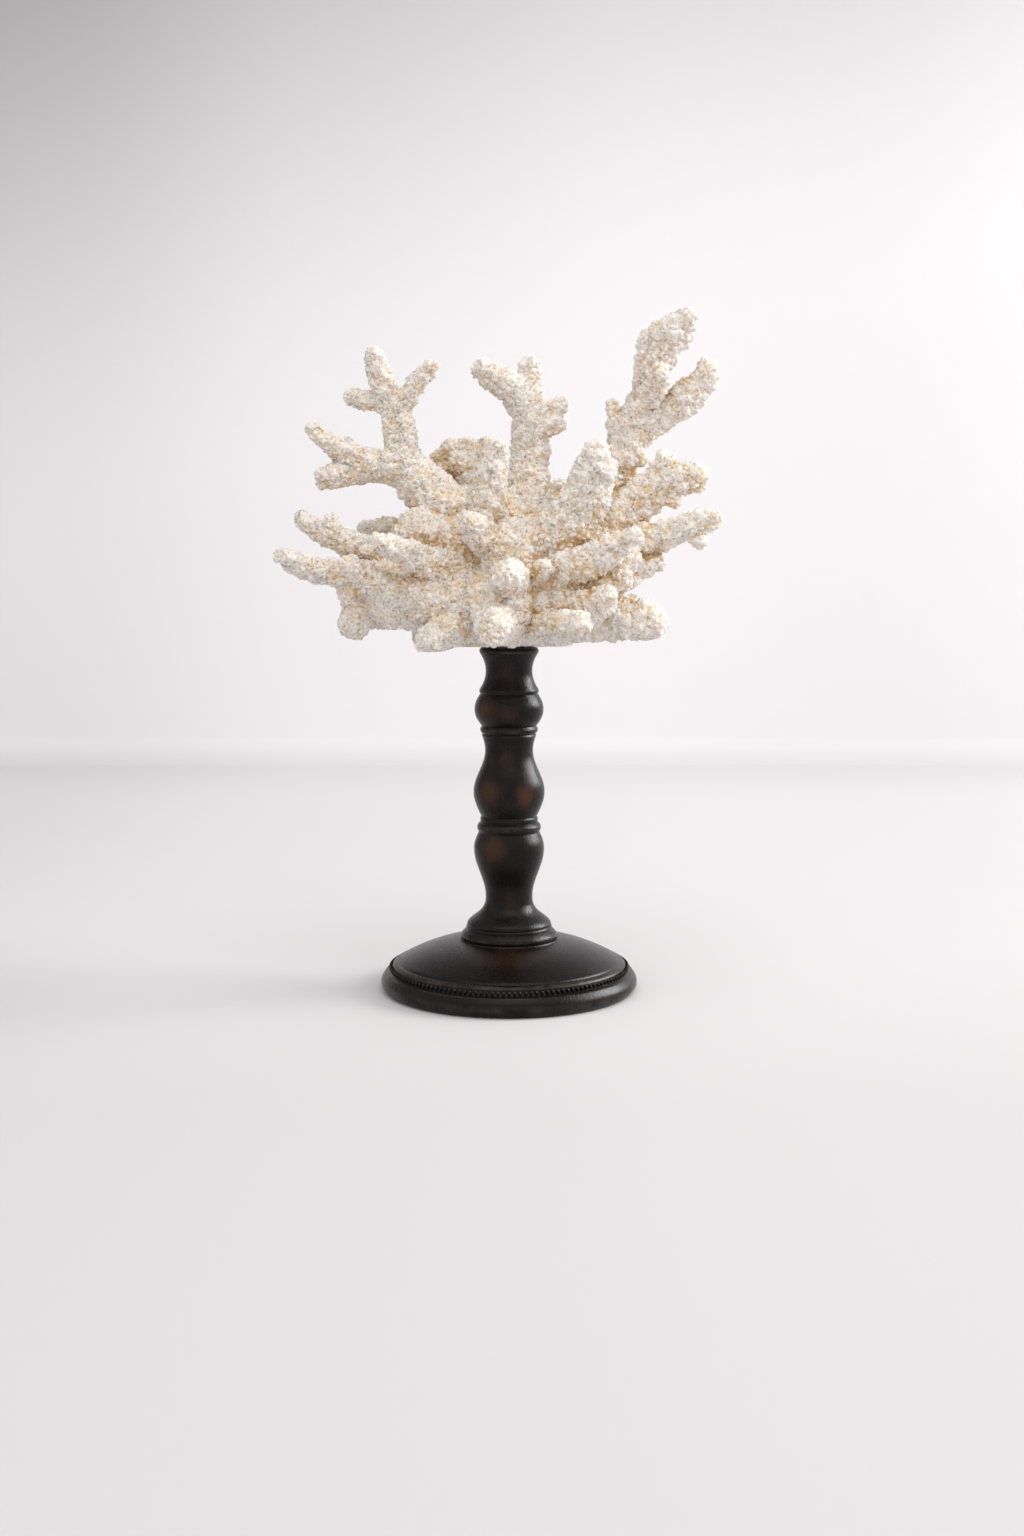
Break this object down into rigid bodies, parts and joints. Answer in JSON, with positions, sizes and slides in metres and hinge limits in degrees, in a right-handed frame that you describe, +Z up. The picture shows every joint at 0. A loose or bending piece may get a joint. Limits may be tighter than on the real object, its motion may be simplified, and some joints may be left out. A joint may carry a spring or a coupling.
{
  "type": "branching coral on stand",
  "caption": "White branching coral with knobbly limbs, cut flat underneath and set on a dark turned wooden column with a moulded disc foot.",
  "frame": {"origin": "centre of the foot's flat underside", "axes": "+Z up along the column's turning axis, +Y away from the viewer, -Y towards the side the picture shows"},
  "size_m": [0.233, 0.1679, 0.3639],
  "materials": {
    "coral": "matt, porous, warm white with cream in the recesses",
    "stand_wood": "near-black stain, satin, rubbed through to brown on the swells"
  },
  "bodies": {
    "root": {"stand_foot": "stand_wood", "stand_column": "stand_wood", "coral_trunk": "coral", "branch_upright_left": "coral", "branch_arm_left": "coral", "branch_far_left": "coral", "branch_low_left": "coral", "branch_front_left": "coral", "branch_front_ridge": "coral", "cluster_behind": "coral", "branch_middle": "coral", "branch_front_right": "coral", "branch_tall_right": "coral", "branch_mid_right": "coral", "branch_long_right": "coral", "branch_low_right": "coral", "branch_back_left": "coral", "branch_back_middle": "coral", "branch_back_right": "coral", "fork_upper_left": "coral", "branch_behind_left": "coral", "branch_back_left_high": "coral", "branch_back_left_low": "coral", "branch_back_middle_high": "coral", "branch_back_middle_low": "coral", "branch_back_right_high": "coral", "branch_back_right_low": "coral", "branch_front_right_low": "coral", "nub_front_high": "coral", "nub_front_low": "coral", "nub_front_left": "coral", "lobe_front_left": "coral"}
  },
  "joints": []
}
